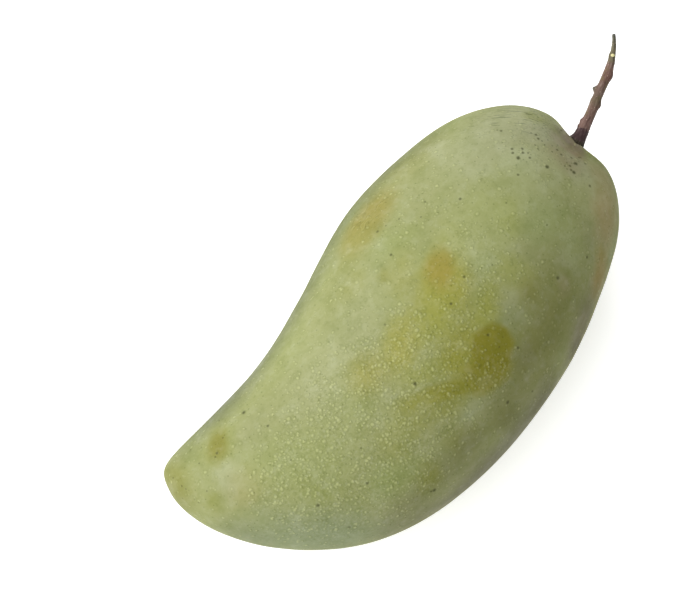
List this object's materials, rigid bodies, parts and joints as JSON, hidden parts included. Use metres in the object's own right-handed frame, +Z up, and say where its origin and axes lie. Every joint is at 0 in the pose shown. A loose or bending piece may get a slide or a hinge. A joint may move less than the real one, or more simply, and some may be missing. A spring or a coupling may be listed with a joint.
{
  "type": "mango",
  "caption": "Long green mango with a curved tip and its woody stalk in a shallow cavity, lying on one cheek on a small flat spot.",
  "frame": {"origin": "on the small flat spot under the fruit's weight, at the level of the surface it lies on", "axes": "+X from the tip to the stalk end, +Y to the hollow side, +Z up from the surface it lies on"},
  "size_m": [0.1815, 0.0876, 0.0636],
  "materials": {
    "skin": "satin",
    "bark": "matte"
  },
  "bodies": {
    "root": {"fruit": "skin", "stalk": "bark"}
  },
  "joints": []
}
